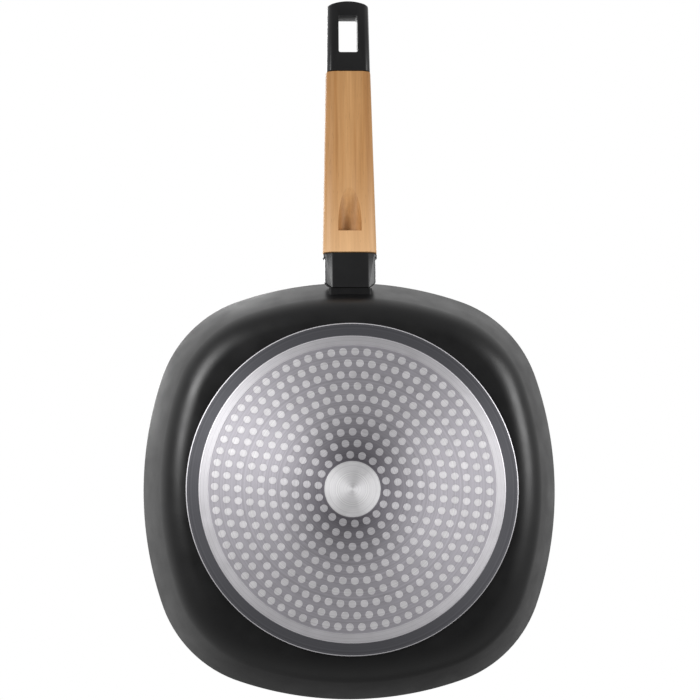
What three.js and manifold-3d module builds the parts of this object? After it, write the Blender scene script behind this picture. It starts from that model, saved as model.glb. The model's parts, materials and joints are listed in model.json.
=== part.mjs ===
// Square grill pan with a wooden handle, standing on its base.
// Millimetres, +Z up. The origin is the centre of the flat underside, and the handle points along +Y.

import * as THREE from "three";
import { mergeVertices } from "three/addons/utils/BufferGeometryUtils.js";
import Module from "manifold-3d";

const wasm = await Module();
wasm.setup();

// Cast body: a bowl whose plan has bowed sides and round corners, with the radii of the rim
const rimWidth = 280;
const rimLength = 283;
const sideArcRadius = 235;
const cornerArcRadius = 82;
const panHeight = 46;
const wallFlareDegrees = 21;
const cornerRadius = 19.5;
const wallThickness = 3.2;
const floorThickness = 4.4;
const rimBevel = 0.8;

// Round foot under the body, with a painted ring round a bare turned ring
const footRadius = 111;
const footHeight = 2.4;
const footBevel = 0.6;
const bareRingRadius = 102.5;
const bareRingBevel = 0.5;
const paintedRingStep = 0.4;

// Perforated induction plate, let into the foot round the centre boss
const plateRadius = 95.8;
const plateThickness = 0.6;
const plateEyeRadius = 18.9;
const plateWeb = 1.2;
const plateGap = 0.1;
const dotPitch = 7.65;
const dotRadius = 2.65;
const dotsAddedPerRing = 6;
const dotStartDegrees = 6.3;

// Cooking ribs along the handle's direction
const ribPitch = 15;
const ribHeight = 3;
const ribFootWidth = 5;
const ribTopWidth = 2.6;
const ribEndSpace = 8;

// Handle line: where it leaves the wall and how far it rises
const handleHeight = 29;
const handleTiltDegrees = 7;
const wallClearance = 0.4;
const bossReach = 1;
const fitGap = 0.3;

// Section that ferrule, grip and cap share: chamfered edges, and sides that lean out to mid-height
const chamferAcross = 4.8;
const chamferDown = 2.3;
const sideLean = 0.6;

// Boss and lug cast on the wall
const bossWidth = 29;
const bossThickness = 16;
const bossChamfer = 1.5;
const lugWidth = 22;
const lugThickness = 12.6;
const lugLength = 15.5;

// Ferrule
const neckWidth = 34.9;
const neckThickness = 17;
const neckLength = 20.5;
const neckCornerAcross = 4.6;
const neckCornerAlong = 3.7;
const flangeWidth = 37;
const flangeLength = 3;
const pegRadius = 2.4;
const pegLength = 7;
const pegSpacing = 23;

// Wooden grip
const gripLength = 126;
const gripFrontWidth = 36.6;
const gripFrontThickness = 18.9;
const gripRearWidth = 30.6;
const gripRearThickness = 17.6;
const pocketEdge = 14.6;
const pocketWidth = 15.8;
const pocketDepth = 8.8;
const pocketAngleDegrees = 16.8;

// End cap
const capLength = 48.9;
const capChamfer = 2.2;
const capFrontWidth = 30.1;
const capFrontThickness = 17.3;
const capRearWidth = 28.5;
const capRearThickness = 16.4;
const capEndRadius = 32;
const hangingHoleWidth = 13;
const hangingHoleLength = 26.2;
const hangingHoleRounding = 1.2;
const hangingHoleEdge = 9.7;
const spigotWidth = 14;
const spigotThickness = 6.6;
const spigotLength = 13;

// Fixing screw, inclined so that a driver reaches it through the pocket
const screwDepth = 5;
const screwLugDrop = 1;
const screwRadius = 2;
const screwHeadRadius = 3.2;
const screwHeadThickness = 3;
const screwTipShort = 0.6;
const headBoreRadius = 3.8;
const headBoreDepth = 6.6;
const fixingWasherRadius = 3.5;
const fixingWasherThickness = 1;
const springWasherRadius = 3.3;
const springWasherThickness = 1.2;
const springWasherSlot = 0.8;
const lugInsertRadius = 3;
const lugInsertLength = 10;
const lugInsertRecess = 1.6;

// Tie bolt, above the pocket
const tieBoltRise = 4;
const tieBoltRadius = 1.5;
const tieHeadRadius = 2.75;
const tieHeadThickness = 3;
const tieHeadBoreRadius = 3.2;
const tieHeadBoreDepth = 7;
const tieWasherRadius = 3;
const tieWasherThickness = 1;
const capInsertRadius = 2.3;
const capInsertLength = 10;
const capInsertRecess = 0.5;
const socketShare = 0.55;
const socketDepth = 1.8;

// Fineness of round shapes, and how far a cutting shape runs past what it cuts
const bodySides = 72;
const cornerSteps = 7;
const dotSides = 5;
const boltSides = 20;
const socketSides = 6;
const edgeSteps = 3;
const cutMargin = 2;
const weldDistance = 1e-4;

const wallFlare = THREE.MathUtils.degToRad(wallFlareDegrees);
const handleTilt = THREE.MathUtils.degToRad(handleTiltDegrees);
const pocketAngle = THREE.MathUtils.degToRad(pocketAngleDegrees);
const floorHeight = footHeight + floorThickness;
const rimRadius = rimWidth / 2;
const innerRimRadius = rimRadius - wallThickness / Math.cos(wallFlare);
const lengthening = rimLength / rimWidth;

// Plan as long as it is wide. The middle of each side arc lies behind the centre, and each corner arc, whose
// middle lies out by the same distance both ways, runs into the side arcs where the side has made this turn.
const sideArcPlace = rimRadius - sideArcRadius;
const cornerArcPlace = (
  sideArcPlace + Math.sqrt(2 * (sideArcRadius - cornerArcRadius) ** 2 - sideArcPlace ** 2)) / 2;
const sideTurn = Math.atan2(cornerArcPlace, cornerArcPlace - sideArcPlace);
const sideEnd = sideArcRadius * Math.sin(sideTurn);
const cornerStart = Math.atan2(sideEnd, sideArcPlace + sideArcRadius * Math.cos(sideTurn));

// Turns a closed geometry into a solid, moved by a placement if there is one
function solid(geometry, placement = new THREE.Matrix4()) {
  const bare = geometry.clone();
  bare.deleteAttribute("normal");
  bare.deleteAttribute("uv");
  bare.applyMatrix4(placement);
  const merged = mergeVertices(bare, weldDistance);
  const corners = merged.index.array;
  const triangles = [];
  for (let i = 0; i < corners.length; i += 3) {
    const [a, b, c] = corners.slice(i, i + 3);
    if (a !== b && b !== c && c !== a) {
      triangles.push(a, b, c);
    }
  }
  const vertProperties = new Float32Array(merged.attributes.position.array);
  const triVerts = new Uint32Array(triangles);
  return new wasm.Manifold(new wasm.Mesh({ numProp: 3, vertProperties, triVerts }));
}

function namedMesh(name, body, material) {
  const { vertProperties, triVerts } = body.getMesh();
  const geometry = new THREE.BufferGeometry();
  geometry.setAttribute("position", new THREE.BufferAttribute(vertProperties, 3));
  geometry.setIndex(new THREE.BufferAttribute(triVerts, 1));
  geometry.computeVertexNormals();
  const mesh = new THREE.Mesh(geometry, material);
  mesh.name = name;
  return mesh;
}

// Revolves a profile of radius and height round the Z axis
function spun(profile, sides) {
  return new THREE.LatheGeometry(profile, sides).rotateX(Math.PI / 2);
}

// A straight bar along +Y whose section is drawn with X across and Y downwards
function bar(section, start, end) {
  const options = { depth: end - start, bevelEnabled: false, curveSegments: edgeSteps };
  return new THREE.ExtrudeGeometry(section, options).rotateX(-Math.PI / 2).translate(0, start, 0);
}

// A round rod along Y
function rod(radius, start, end, sides = boltSides) {
  return new THREE.CylinderGeometry(radius, radius, end - start, sides).translate(0, (start + end) / 2, 0);
}

function outline(corners) {
  return new THREE.Shape(corners.map(([x, y]) => new THREE.Vector2(x, y)));
}

function rectangle(width, thickness) {
  const x = width / 2;
  const y = thickness / 2;
  return outline([[x, -y], [x, y], [-x, y], [-x, -y]]);
}

// A section whose edges are cut off so far across and so far down, under sides that lean out to mid-height
function chamferedSection(width, thickness, across, down, lean) {
  const x = width / 2;
  const y = thickness / 2;
  const side = x - lean;
  const flat = side - across;
  const upright = y - down;
  return outline([
    [x, 0], [side, upright], [flat, y], [-flat, y], [-side, upright],
    [-x, 0], [-side, -upright], [-flat, -y], [flat, -y], [side, -upright],
  ]);
}

function handleSection(width, thickness) {
  return chamferedSection(width, thickness, chamferAcross, chamferDown, sideLean);
}

function roundedSection(width, thickness, rounding) {
  const x = width / 2 - rounding;
  const y = thickness / 2 - rounding;
  const quarter = Math.PI / 2;
  const shape = new THREE.Shape();
  shape.absarc(x, y, rounding, 0, quarter);
  shape.absarc(-x, y, rounding, quarter, 2 * quarter);
  shape.absarc(-x, -y, rounding, 2 * quarter, 3 * quarter);
  shape.absarc(x, -y, rounding, 3 * quarter, 4 * quarter);
  return shape;
}

// Draws a bar's sides in evenly towards its end, which leaves its chamfers as wide as they are
function tapered(geometry, start, end, narrowing, thinning) {
  const position = geometry.attributes.position;
  for (let i = 0; i < position.count; i += 1) {
    const along = (position.getY(i) - start) / (end - start);
    const x = position.getX(i);
    const z = position.getZ(i);
    position.setX(i, x - (Math.sign(x) * narrowing * along) / 2);
    position.setZ(i, z - (Math.sign(z) * thinning * along) / 2);
  }
  return geometry;
}

// Where a line from the centre leaves an arc whose middle lies so far out, at an angle from that line
function arcReach(place, radius, angle) {
  return place * Math.cos(angle) + Math.sqrt(radius ** 2 - (place * Math.sin(angle)) ** 2);
}

// How far the plan reaches at an angle that is 0 in the middle of a side
function planReach(angle) {
  const quarter = Math.PI / 2;
  const folded = Math.abs(angle - quarter * Math.round(angle / quarter));
  return folded < cornerStart
    ? arcReach(sideArcPlace, sideArcRadius, folded)
    : arcReach(Math.SQRT2 * cornerArcPlace, cornerArcRadius, quarter / 2 - folded);
}

// How far the plan reaches along the handle's direction at some place across it
function planLength(across) {
  const x = Math.abs(across);
  return x < sideEnd
    ? sideArcPlace + Math.sqrt(sideArcRadius ** 2 - x ** 2)
    : cornerArcPlace + Math.sqrt(cornerArcRadius ** 2 - (x - cornerArcPlace) ** 2);
}

// Draws the circles of a revolved shape out to the plan
function squared(geometry) {
  const position = geometry.attributes.position;
  for (let i = 0; i < position.count; i += 1) {
    const stretch = planReach(Math.atan2(position.getY(i), position.getX(i))) / rimRadius;
    position.setX(i, position.getX(i) * stretch);
    position.setY(i, position.getY(i) * stretch * lengthening);
  }
  return geometry;
}

// Where a flared wall that reaches topRadius at the rim stands at some height
function wallRadius(topRadius, height) {
  return topRadius - (panHeight - height) * Math.tan(wallFlare);
}

// The radius out to which a bowl's bottom is flat
function flatRadius(topRadius, bottomHeight, rounding) {
  return wallRadius(topRadius, bottomHeight + rounding) - rounding / Math.cos(wallFlare);
}

// Bowl profile: flat bottom, rounded corner, then the straight wall up to the bevel of the rim
function bowlProfile(topRadius, bottomHeight, rounding) {
  const centre = flatRadius(topRadius, bottomHeight, rounding);
  const arc = new THREE.EllipseCurve(
    centre, bottomHeight + rounding, rounding, rounding, -Math.PI / 2, -wallFlare);
  const bevelHeight = panHeight - rimBevel;
  return [
    new THREE.Vector2(0, bottomHeight),
    ...arc.getPoints(cornerSteps),
    new THREE.Vector2(wallRadius(topRadius, bevelHeight), bevelHeight),
  ];
}

// The bowl's outside, with some clearance round it if it is to be cut from another piece
function bowlOutside(clearance, placement) {
  const top = rimRadius + clearance;
  const profile = bowlProfile(top, footHeight, cornerRadius);
  profile.push(new THREE.Vector2(top - rimBevel, panHeight), new THREE.Vector2(0, panHeight));
  return solid(squared(spun(profile, bodySides)), placement);
}

function bowlInside() {
  const profile = bowlProfile(innerRimRadius, floorHeight, cornerRadius - wallThickness);
  const top = panHeight + cutMargin;
  const mouth = innerRimRadius + rimBevel;
  profile.push(new THREE.Vector2(mouth, panHeight), new THREE.Vector2(mouth, top), new THREE.Vector2(0, top));
  return solid(squared(spun(profile, bodySides)));
}

function foot() {
  const profile = [
    [0, 0],
    [bareRingRadius - bareRingBevel, 0],
    [bareRingRadius, paintedRingStep],
    [footRadius - footBevel, paintedRingStep],
    [footRadius, paintedRingStep + footBevel],
    [footRadius, footHeight + floorThickness / 2],
    [0, footHeight + floorThickness / 2],
  ];
  return solid(spun(profile.map(([radius, height]) => new THREE.Vector2(radius, height)), bodySides));
}

function platePocket() {
  const inner = plateEyeRadius - plateGap;
  const outer = plateRadius + plateGap;
  const depth = plateThickness + plateGap;
  const profile = [
    [inner, -cutMargin],
    [outer, -cutMargin],
    [outer, depth],
    [inner, depth],
    [inner, -cutMargin],
  ];
  return solid(spun(profile.map(([radius, height]) => new THREE.Vector2(radius, height)), bodySides));
}

// One rib, as long as the plan of the ribbed field is at its place across the floor
function rib(across, fieldRadius) {
  const scale = fieldRadius / rimRadius;
  const reach = scale * planLength(across / scale) * lengthening;
  const sunk = floorThickness / 4;
  const section = outline([
    [across + ribFootWidth / 2, -floorHeight + sunk],
    [across - ribFootWidth / 2, -floorHeight + sunk],
    [across - ribTopWidth / 2, -floorHeight - ribHeight],
    [across + ribTopWidth / 2, -floorHeight - ribHeight],
  ]);
  return solid(bar(section, -reach, reach));
}

function ribs() {
  const flat = flatRadius(innerRimRadius, floorHeight, cornerRadius - wallThickness);
  const fieldRadius = flat - ribEndSpace;
  const perSide = Math.floor((fieldRadius - ribFootWidth / 2) / ribPitch);
  const places = Array.from({ length: 2 * perSide + 1 }, (_, i) => (i - perSide) * ribPitch);
  return places.map((across) => rib(across, fieldRadius)).reduce((all, one) => all.add(one));
}

// Handle frame: on the upright face of the boss, which stands out of the wall at the handle's height
const seatY = wallRadius(rimRadius, handleHeight) * lengthening + bossReach;
const handlePlace = new THREE.Matrix4().makeRotationX(handleTilt).setPosition(0, seatY, handleHeight);

// Places along the handle, measured from the face of the boss
const gripStart = neckLength + flangeLength + fitGap;
const gripEnd = gripStart + gripLength;
const capStart = gripEnd + fitGap;
const capEnd = capStart + capLength;
const spigotStart = capStart - spigotLength;
const holeEnd = capEnd - hangingHoleEdge;

// Pocket frame: on the straight edge where the pocket's end wall meets the underside of the grip.
// The wall stands square to the handle's line, and the pocket is a round channel that slopes out of the wood.
const edgeAlong = gripStart + pocketEdge;
const edgeDrop = THREE.MathUtils.lerp(gripFrontThickness, gripRearThickness, pocketEdge / gripLength) / 2;
const pocketPlace = new THREE.Matrix4().makeRotationX(-pocketAngle).setPosition(0, edgeAlong, -edgeDrop);
const pocketRadius = ((pocketWidth / 2) ** 2 + pocketDepth ** 2) / (2 * pocketDepth);
const pocketLength = pocketDepth / Math.tan(pocketAngle) + pocketRadius;

// Screw frame: above the pocket's edge, on a line that passes below the handle's line inside the lug insert
const insertMiddle = lugLength - lugInsertRecess - lugInsertLength / 2;
const screwRun = edgeAlong - insertMiddle;
const screwDrop = edgeDrop - screwDepth;
const screwRise = screwDrop - screwLugDrop;
const screwAngle = Math.atan2(screwRise, screwRun);
const screwPlace = new THREE.Matrix4().makeRotationX(-screwAngle).setPosition(0, edgeAlong, -screwDrop);
const insertDistance = Math.hypot(screwRun, screwRise);
const tiePlace = new THREE.Matrix4().makeTranslation(0, 0, tieBoltRise);

// Places along the screw, measured towards the driver
const headBoreEnd = -headBoreDepth;
const fixingWasherEnd = headBoreEnd + fitGap + fixingWasherThickness;
const springWasherEnd = fixingWasherEnd + fitGap + springWasherThickness;
const screwHeadStart = springWasherEnd + fitGap;
const headBoreMouth = headBoreRadius * Math.tan(screwAngle) + cutMargin;
const insertOuterEnd = -insertDistance + lugInsertLength / 2;
const insertInnerEnd = -insertDistance - lugInsertLength / 2;

// Places along the tie bolt
const tieSeat = gripStart + tieHeadBoreDepth;
const tieWasherStart = tieSeat - fitGap - tieWasherThickness;
const tieHeadEnd = tieWasherStart - fitGap;
const capInsertStart = spigotStart + capInsertRecess;
const capInsertEnd = capInsertStart + capInsertLength;

function panBody() {
  const bossSection = chamferedSection(bossWidth, bossThickness, bossChamfer, bossChamfer, 0);
  const boss = bar(bossSection, 0, seatY).translate(0, 0, handleHeight);
  const lug = bar(rectangle(lugWidth, lugThickness), -lugLength, lugLength);
  const insertBore = rod(lugInsertRadius + fitGap, insertInnerEnd - fitGap, insertOuterEnd + lugLength);
  const borePlace = handlePlace.clone().multiply(screwPlace);
  return bowlOutside(0)
    .add(foot())
    .add(solid(boss))
    .add(solid(lug, handlePlace))
    .subtract(bowlInside())
    .add(ribs())
    .subtract(platePocket())
    .subtract(solid(insertBore, borePlace));
}

// Steel disc with its holes on rings, each ring holding a few more than the last
function inductionPlate() {
  const disc = new THREE.Shape().absarc(0, 0, plateRadius, 0, 2 * Math.PI);
  disc.holes.push(new THREE.Path().absarc(0, 0, plateEyeRadius, 0, 2 * Math.PI));
  const outline = disc.extractPoints(bodySides);
  const firstRing = Math.ceil((plateEyeRadius + plateWeb + dotRadius) / dotPitch);
  const lastRing = Math.floor((plateRadius - plateWeb - dotRadius) / dotPitch);
  const plate = new THREE.Shape(outline.shape);
  plate.holes = outline.holes.map((points) => new THREE.Path(points));
  for (let ring = firstRing; ring <= lastRing; ring += 1) {
    const count = ring * dotsAddedPerRing;
    for (let i = 0; i < count; i += 1) {
      const angle = THREE.MathUtils.degToRad(dotStartDegrees) + (2 * Math.PI * i) / count;
      const x = ring * dotPitch * Math.cos(angle);
      const y = ring * dotPitch * Math.sin(angle);
      plate.holes.push(new THREE.Path(dotCorners(x, y, angle)));
    }
  }
  return solid(new THREE.ExtrudeGeometry(plate, { depth: plateThickness, bevelEnabled: false }));
}

function dotCorners(x, y, turn) {
  return Array.from({ length: dotSides }, (_, i) => {
    const angle = turn + (2 * Math.PI * i) / dotSides;
    return new THREE.Vector2(x + dotRadius * Math.cos(angle), y + dotRadius * Math.sin(angle));
  });
}

// Phenolic sleeve over the lug. Its front end is upright, to sit square against the boss, and clears the wall
// above. The flange carries the faces of the neck on to its own width.
function ferrule() {
  const neck = bar(handleSection(neckWidth, neckThickness), -neckThickness, neckLength);
  const flangeEnd = neckLength + flangeLength;
  const across = chamferAcross + (flangeWidth - neckWidth) / 2;
  const down = (chamferDown * across) / chamferAcross;
  const flangeSection = chamferedSection(flangeWidth, neckThickness, across, down, sideLean);
  const flange = bar(flangeSection, neckLength, flangeEnd);
  const socket = bar(
    rectangle(lugWidth + 2 * fitGap, lugThickness + 2 * fitGap), -2 * neckThickness, lugLength + fitGap);
  return pegs(pegRadius, flangeEnd - flangeLength, flangeEnd + pegLength)
    .add(solid(neck))
    .add(solid(flange))
    .subtract(solid(socket))
    .subtract(solid(neckFront()))
    .subtract(bowlOutside(wallClearance, handlePlace.clone().invert()))
    .subtract(screwHole());
}

// What comes off the front of the neck: all up to the boss, and the two corners of its plan
function neckFront() {
  const past = neckWidth / 2 + neckCornerAcross;
  const kept = neckWidth / 2 - neckCornerAcross;
  const side = fitGap + 2 * neckCornerAlong;
  const plan = outline([
    [-past, -2 * neckThickness], [past, -2 * neckThickness], [past, side],
    [kept, fitGap], [-kept, fitGap], [-past, side],
  ]);
  return upright(plan, edgeSteps).rotateX(-handleTilt);
}

// The pair of pegs that keep the grip from turning on the flange
function pegs(radius, start, end) {
  const left = rod(radius, start, end).translate(-pegSpacing / 2, 0, 0);
  const right = rod(radius, start, end).translate(pegSpacing / 2, 0, 0);
  return solid(left).add(solid(right));
}

function screwHole() {
  return solid(rod(screwRadius + fitGap, insertInnerEnd, 0), screwPlace);
}

function woodenGrip() {
  const wood = tapered(
    bar(handleSection(gripFrontWidth, gripFrontThickness), gripStart, gripEnd), gripStart, gripEnd,
    gripFrontWidth - gripRearWidth, gripFrontThickness - gripRearThickness);
  const mortiseSection = rectangle(spigotWidth + 2 * fitGap, spigotThickness + 2 * fitGap);
  const mortise = bar(mortiseSection, spigotStart - fitGap, gripEnd + cutMargin);
  const channel = rod(pocketRadius, -pocketDepth, pocketLength).translate(0, 0, pocketDepth - pocketRadius);
  const beyondEdge = new THREE.BoxGeometry(2 * gripFrontWidth, gripLength, 2 * gripFrontThickness)
    .translate(0, edgeAlong + gripLength / 2, 0);
  return solid(wood)
    .subtract(solid(channel, pocketPlace).intersect(solid(beyondEdge)))
    .subtract(solid(rod(headBoreRadius, headBoreEnd, headBoreMouth), screwPlace))
    .subtract(screwHole())
    .subtract(solid(rod(tieHeadBoreRadius, gripStart - cutMargin, tieSeat), tiePlace))
    .subtract(solid(rod(tieBoltRadius + fitGap, gripStart, gripEnd), tiePlace))
    .subtract(solid(mortise, tiePlace))
    .subtract(pegs(pegRadius + fitGap, gripStart - cutMargin, gripStart + pegLength));
}

function endCap() {
  const section = chamferedSection(capFrontWidth, capFrontThickness, capChamfer, capChamfer, sideLean);
  const block = tapered(
    bar(section, capStart, capEnd), capStart, capEnd,
    capFrontWidth - capRearWidth, capFrontThickness - capRearThickness);
  const spigot = bar(rectangle(spigotWidth, spigotThickness), spigotStart, capStart + cutMargin);
  const insertBore = rod(capInsertRadius + fitGap, spigotStart - cutMargin, capInsertEnd + fitGap);
  return solid(block)
    .intersect(solid(capOutline()))
    .add(solid(spigot, tiePlace))
    .subtract(solid(hangingHole()))
    .subtract(solid(insertBore, tiePlace));
}

// The plan of the cap's rounded end, as deep as the cap is thick
function capOutline() {
  const across = capFrontWidth / 2;
  const rise = Math.sqrt(capEndRadius ** 2 - across ** 2);
  const centre = capEnd - capEndRadius;
  const start = Math.atan2(rise, across);
  const plan = new THREE.Shape();
  plan.moveTo(-across, capStart);
  plan.lineTo(across, capStart);
  plan.absarc(0, centre, capEndRadius, start, Math.PI - start);
  return upright(plan, boltSides);
}

function hangingHole() {
  const plan = roundedSection(hangingHoleWidth, hangingHoleLength, hangingHoleRounding);
  return upright(plan, edgeSteps).translate(0, holeEnd - hangingHoleLength / 2, 0);
}

// A plan drawn in X and Y, extruded through the whole thickness of the handle
function upright(plan, curveSegments) {
  const depth = 2 * gripFrontThickness;
  const options = { depth, bevelEnabled: false, curveSegments };
  return new THREE.ExtrudeGeometry(plan, options).translate(0, 0, -depth / 2);
}

function fixingScrew() {
  const headEnd = screwHeadStart + screwHeadThickness;
  const shank = rod(screwRadius, insertInnerEnd + screwTipShort, screwHeadStart + screwHeadThickness / 2);
  const socketRadius = screwHeadRadius * socketShare;
  const socket = rod(socketRadius, headEnd - socketDepth, headEnd + cutMargin, socketSides);
  return solid(rod(screwHeadRadius, screwHeadStart, headEnd)).add(solid(shank)).subtract(solid(socket));
}

function ring(outerRadius, innerRadius, start, end) {
  const hole = rod(innerRadius, start - cutMargin, end + cutMargin);
  return solid(rod(outerRadius, start, end)).subtract(solid(hole));
}

function springWasher() {
  const start = springWasherEnd - springWasherThickness;
  const slot = new THREE.BoxGeometry(springWasherSlot, 2 * springWasherThickness, 2 * springWasherRadius)
    .translate(0, start + springWasherThickness / 2, springWasherRadius);
  return ring(springWasherRadius, screwRadius + fitGap, start, springWasherEnd).subtract(solid(slot));
}

function tieBolt() {
  const headStart = tieHeadEnd - tieHeadThickness;
  const shank = rod(tieBoltRadius, tieHeadEnd - tieHeadThickness / 2, capInsertEnd - screwTipShort);
  const socketRadius = tieHeadRadius * socketShare;
  const socket = rod(socketRadius, headStart - cutMargin, headStart + socketDepth, socketSides);
  return solid(rod(tieHeadRadius, headStart, tieHeadEnd)).add(solid(shank)).subtract(solid(socket));
}

function finish(color, roughness, metalness) {
  return new THREE.MeshStandardMaterial({ color, roughness, metalness });
}

const handle = new THREE.Group();
handle.position.set(0, seatY, handleHeight);
handle.rotation.x = handleTilt;
handle.add(namedMesh("ferrule", ferrule(), finish(0x2b2b2e, 0.45, 0)));
handle.add(namedMesh("wooden_grip", woodenGrip(), finish(0xc49562, 0.6, 0)));
handle.add(namedMesh("end_cap", endCap(), finish(0x252528, 0.45, 0)));

const screwLine = new THREE.Group();
screwLine.position.setFromMatrixPosition(screwPlace);
screwLine.rotation.x = -screwAngle;
const fixingWasherStart = fixingWasherEnd - fixingWasherThickness;
const fixingWasher = ring(fixingWasherRadius, screwRadius + fitGap, fixingWasherStart, fixingWasherEnd);
const lugInsert = ring(lugInsertRadius, screwRadius + fitGap, insertInnerEnd, insertOuterEnd);
screwLine.add(namedMesh("fixing_screw", fixingScrew(), finish(0xb4b5b8, 0.35, 1)));
screwLine.add(namedMesh("fixing_washer", fixingWasher, finish(0xb9babd, 0.35, 1)));
screwLine.add(namedMesh("fixing_spring_washer", springWasher(), finish(0xa6a7aa, 0.4, 1)));
screwLine.add(namedMesh("lug_insert", lugInsert, finish(0xa9aaad, 0.4, 1)));
handle.add(screwLine);

const tieLine = new THREE.Group();
tieLine.position.z = tieBoltRise;
const tieWasherEnd = tieWasherStart + tieWasherThickness;
const tieWasher = ring(tieWasherRadius, tieBoltRadius + fitGap, tieWasherStart, tieWasherEnd);
const capInsert = ring(capInsertRadius, tieBoltRadius + fitGap, capInsertStart, capInsertEnd);
tieLine.add(namedMesh("tie_bolt", tieBolt(), finish(0xb4b5b8, 0.35, 1)));
tieLine.add(namedMesh("tie_bolt_washer", tieWasher, finish(0xb9babd, 0.35, 1)));
tieLine.add(namedMesh("cap_insert", capInsert, finish(0xb89a55, 0.35, 1)));
handle.add(tieLine);

const grillPan = new THREE.Group();
grillPan.add(namedMesh("pan_body", panBody(), finish(0x2a2a2d, 0.4, 0.2)));
grillPan.add(namedMesh("induction_plate", inductionPlate(), finish(0x8f8d91, 0.35, 1)));
grillPan.add(handle);

export default grillPan;
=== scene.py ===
import json
import math

import bmesh
import bpy
from mathutils import Matrix, Vector
from mathutils.geometry import interpolate_bezier


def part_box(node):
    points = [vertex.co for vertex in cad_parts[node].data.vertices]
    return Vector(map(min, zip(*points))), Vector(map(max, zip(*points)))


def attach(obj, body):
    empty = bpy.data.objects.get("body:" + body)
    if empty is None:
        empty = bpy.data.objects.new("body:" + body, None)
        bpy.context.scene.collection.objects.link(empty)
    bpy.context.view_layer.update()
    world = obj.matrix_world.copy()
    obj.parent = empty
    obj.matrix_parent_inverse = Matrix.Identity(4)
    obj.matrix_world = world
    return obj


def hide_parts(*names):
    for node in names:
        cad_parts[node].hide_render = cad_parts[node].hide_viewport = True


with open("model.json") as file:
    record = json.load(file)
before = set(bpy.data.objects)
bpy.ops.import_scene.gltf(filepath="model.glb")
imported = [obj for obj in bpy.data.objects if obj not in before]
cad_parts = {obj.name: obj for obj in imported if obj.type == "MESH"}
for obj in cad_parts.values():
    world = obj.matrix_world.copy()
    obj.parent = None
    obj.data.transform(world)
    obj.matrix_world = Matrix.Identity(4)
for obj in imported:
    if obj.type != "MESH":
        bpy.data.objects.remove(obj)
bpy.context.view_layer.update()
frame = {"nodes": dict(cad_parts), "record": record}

bl_info = {
    "name": "Square Grill Pan",
    "version": (1, 0, 0),
    "blender": (4, 5, 0),
    "location": "View3D > Sidebar > Grill Pan",
    "description": "Models a square cast grill pan with an induction base and a wooden handle",
    "category": "Object",
}

MM = 0.001
TURNED_UV = "turned"

# Material slots of the casting's mesh
COATED, PAINTED, TURNED, NON_STICK, CENTRE = range(5)

# Second material slots of the grip's and the end cap's meshes. The grip's routed faces take its wood
# without the painted light that its sanded faces get near the ferrule
ROUTED = 1
BLASTED = 1

# Colour sockets of the Mix node, which has a pair of inputs and a result for each kind of value
MIX_A, MIX_B, MIX_RESULT = 6, 7, 2

# Fineness of round shapes
BODY_STEPS = 192
CORNER_STEPS = 9
EDGE_STEPS = 4
RIB_STEPS = 3
SOFT_STEPS = 2
STUD_SIDES = 16
BORE_SIDES = 48
END_SIDES = 192
FLOOR_SIDES = 64

# Edges with a larger turn than the first are rounded, and those with a larger one than the second are shaded sharp
SHARP_TURN = math.radians(20)
CREASE_TURN = math.radians(32)

# How far the ends of a rounded corner's curve are drawn towards the corner
CORNER_PULL = 0.55

# Points closer than this are one point
MERGE_DISTANCE = MM / 1000

# Units of the lathe map per metre of radius
TURNED_UV_SCALE = 10

# The span that most values of a noise pattern lie in
NOISE_SPAN = {"From Min": 0.3, "From Max": 0.7}


def linear(hex_colour):
    """An sRGB hex value as linear RGBA."""
    channels = [int(hex_colour[i:i + 2], 16) / 255 for i in (1, 3, 5)]
    return [c / 12.92 if c <= 0.04045 else ((c + 0.055) / 1.055) ** 2.4 for c in channels] + [1.0]


def length(name, millimetres, description):
    return bpy.props.FloatProperty(
        name=name, description=description, default=millimetres * MM, min=0, unit="LENGTH", precision=5)


def turn(name, degrees, description):
    return bpy.props.FloatProperty(
        name=name, description=description, default=math.radians(degrees), unit="ROTATION")


def colour(name, hex_colour, description):
    return bpy.props.FloatVectorProperty(
        name=name, description=description, size=4, min=0, max=1, default=linear(hex_colour), subtype="COLOR")


class GrillPanBody(bpy.types.PropertyGroup):
    """Sizes of the cast body."""

    rim_width: length("Rim width", 280, "Width of the pan at its rim")
    height: length("Height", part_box("pan_body")[1].z / MM, "Height of the rim above the base")
    rim_length: length("Rim length", 283, "Length of the pan at its rim, along the handle's direction")
    side_arc: length("Side arc", 235, "Radius of the bowed sides in plan")
    corner_arc: length("Corner arc", 82, "Radius of the corners in plan")
    wall_flare: turn("Wall flare", 21, "Lean of the wall away from upright")
    corner_rounding: length("Corner rounding", 19.5, "Outer radius between floor and wall")
    wall: length("Wall", 3.2, "Thickness of the wall")
    floor: length("Floor", 4.4, "Thickness of the floor")
    rim_rounding: length("Rim rounding", 1.1, "Rounding of the rim's two edges")
    foot_radius: length("Foot radius", 111, "Radius of the round foot")
    foot_height: length("Foot height", 2.4, "How far the foot stands below the floor")
    foot_bevel: length("Foot bevel", 0.6, "Bare bevel round the foot")
    bare_ring_radius: length("Bare ring radius", 102.5, "Outer radius of the bare turned ring")
    bare_ring_bevel: length("Bare ring bevel", 0.5, "Bevel round the bare ring")
    painted_step: length("Painted step", 0.4, "How far the painted ring lies behind the bare one")
    boss_width: length("Boss width", 29, "Width of the handle boss")
    boss_thickness: length("Boss thickness", 16, "Thickness of the handle boss")
    boss_chamfer: length("Boss chamfer", 1.5, "Chamfer along the handle boss")
    rib_pitch: length("Rib pitch", 15, "Distance from rib to rib")
    rib_height: length("Rib height", 3, "Height of the ribs above the floor")
    rib_foot: length("Rib foot", 5, "Width of a rib at the floor")
    rib_top: length("Rib top", 2.6, "Width of a rib at its top")
    rib_end_space: length("Rib end space", 8, "Flat floor left beyond the ribs' ends")


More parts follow.
